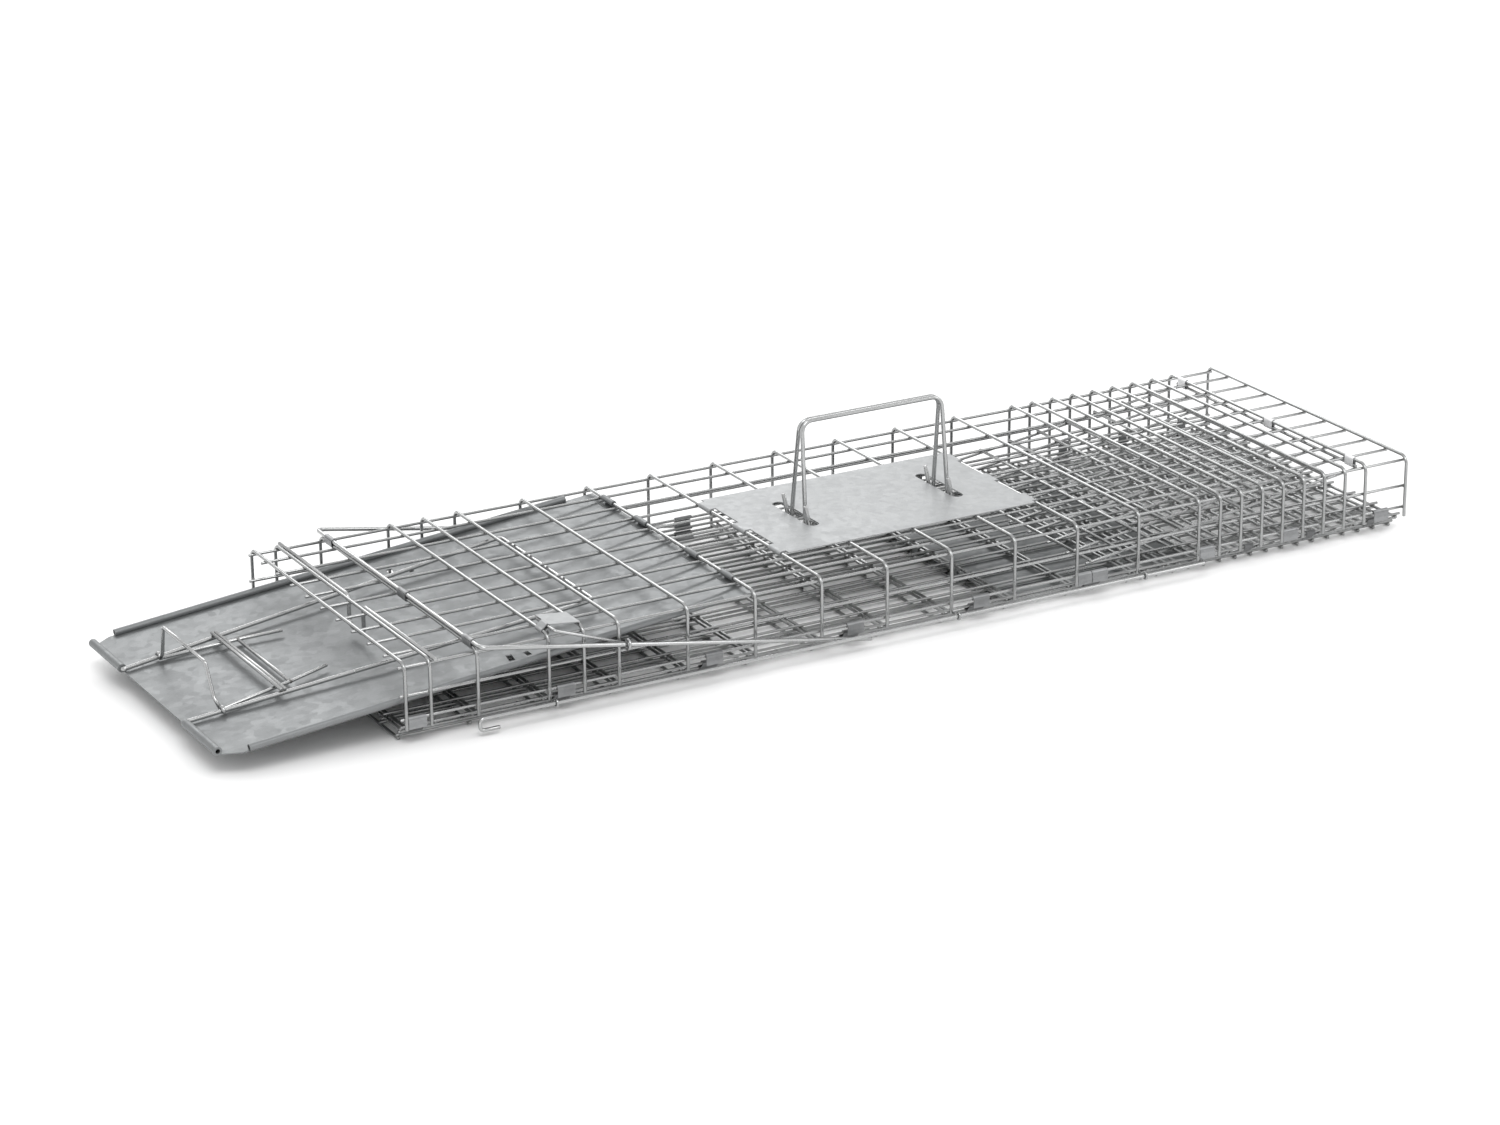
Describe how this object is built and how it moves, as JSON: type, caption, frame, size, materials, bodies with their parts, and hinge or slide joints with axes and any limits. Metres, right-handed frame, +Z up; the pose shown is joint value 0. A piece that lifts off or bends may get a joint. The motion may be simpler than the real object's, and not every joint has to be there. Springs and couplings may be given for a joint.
{
  "type": "live catch trap",
  "caption": "Folding wire cage live catch trap shown folded flat: welded wire panels hinged by sheet clips, sheet metal door with lock frame, treadle, set bail, trigger rod and carry handle",
  "frame": {"origin": "on the floor plane, under the middle of the folded trap", "axes": "+X from the door lip to the rear, +Y to the far side, +Z up"},
  "size_m": [0.9162, 0.265, 0.1277],
  "materials": {
    "wire": "galvanised welded wire, dull grey",
    "bright_rod": "bright zinc plated drawn rod",
    "sheet": "galvanised sheet, matt",
    "plate": "smooth light grey galvanised sheet",
    "clip": "galvanised strip, cut edges"
  },
  "bodies": {
    "top_section": {"top_grille": "wire", "near_flange": "wire", "far_flange": "wire", "front_catch": "bright_rod", "handle_plate": "plate", "bail_clips": "clip", "latch_plate": "clip", "near_hinge_clips": "clip", "far_hinge_clips": "clip", "rod_guides": "wire"},
    "handle_near": {"handle_wire_near": "bright_rod"},
    "handle_far": {"handle_wire_far": "bright_rod"},
    "door_panel": {"door": "sheet"},
    "lock": {"lock_frame": "bright_rod", "grip_bail": "bright_rod", "lock_bar": "bright_rod"},
    "bail": {"set_bail": "bright_rod"},
    "release": {"release_latch": "bright_rod"},
    "trigger": {"trigger_rod": "bright_rod"},
    "far_side": {"far_side_panel": "wire"},
    "floor_panel": {"bottom_panel": "wire", "bottom_clips": "clip"},
    "near_side": {"near_side_panel": "wire", "near_side_clips": "clip"},
    "treadle_plate": {"treadle": "sheet"},
    "rear_door": {"rear_panel": "wire", "rear_clips": "clip"}
  },
  "joints": [
    {"name": "far_fold", "type": "hinge", "parent": "top_section", "child": "far_side", "pos_m": [0, 0.12259, 0.0112], "axis": [1, 0, 0], "range_deg": [0, 90]},
    {"name": "floor_fold", "type": "hinge", "parent": "far_side", "child": "floor_panel", "pos_m": [0, -0.11361, 0.0112], "axis": [1, 0, 0], "range_deg": [-270, 0]},
    {"name": "near_fold", "type": "hinge", "parent": "floor_panel", "child": "near_side", "pos_m": [0, 0.12419, 0.0067], "axis": [1, 0, 0], "range_deg": [0, 90]},
    {"name": "treadle_tilt", "type": "hinge", "parent": "floor_panel", "child": "treadle_plate", "pos_m": [0.1245, 0, 0.0087], "axis": [0, 1, 0], "range_deg": [0, 12]},
    {"name": "door_hinge", "type": "hinge", "parent": "top_section", "child": "door_panel", "pos_m": [-0.0787, 0, 0.0565], "axis": [0, -1, 0], "range_deg": [0, 2]},
    {"name": "lock_swing", "type": "hinge", "parent": "door_panel", "child": "lock", "pos_m": [-0.4552, 0, 0.0178], "axis": [0, 1, 0], "range_deg": [0, 1]},
    {"name": "bail_turn", "type": "hinge", "parent": "top_section", "child": "bail", "pos_m": [-0.2819, 0, 0.0594], "axis": [0, 1, 0], "range_deg": [-15, 15]},
    {"name": "release_turn", "type": "hinge", "parent": "top_section", "child": "release", "pos_m": [-0.2277, 0, 0.0594], "axis": [0, 1, 0], "range_deg": [-30, 30]},
    {"name": "trigger_slide", "type": "slide", "parent": "top_section", "child": "trigger", "axis": [1, 0, 0], "range_m": [0, 0.01]},
    {"name": "handle_near_turn", "type": "hinge", "parent": "top_section", "child": "handle_near", "pos_m": [0.076, -0.02217, 0.0545], "axis": [1, 0, 0], "range_deg": [0, 45]},
    {"name": "handle_far_turn", "type": "hinge", "parent": "top_section", "child": "handle_far", "pos_m": [0.076, 0.00239, 0.0545], "axis": [1, 0, 0], "range_deg": [-45, 0]},
    {"name": "rear_turn", "type": "hinge", "parent": "top_section", "child": "rear_door", "pos_m": [0.4209, 0, 0.0565], "axis": [0, 1, 0], "range_deg": [0, 5]}
  ],
  "couplings": [
    {"joint": "floor_fold", "follows": "far_fold", "ratio": -3},
    {"joint": "near_fold", "follows": "far_fold", "ratio": 1},
    {"joint": "treadle_tilt", "follows": "far_fold", "ratio": 0.1333},
    {"joint": "release_turn", "follows": "bail_turn", "ratio": 2}
  ]
}
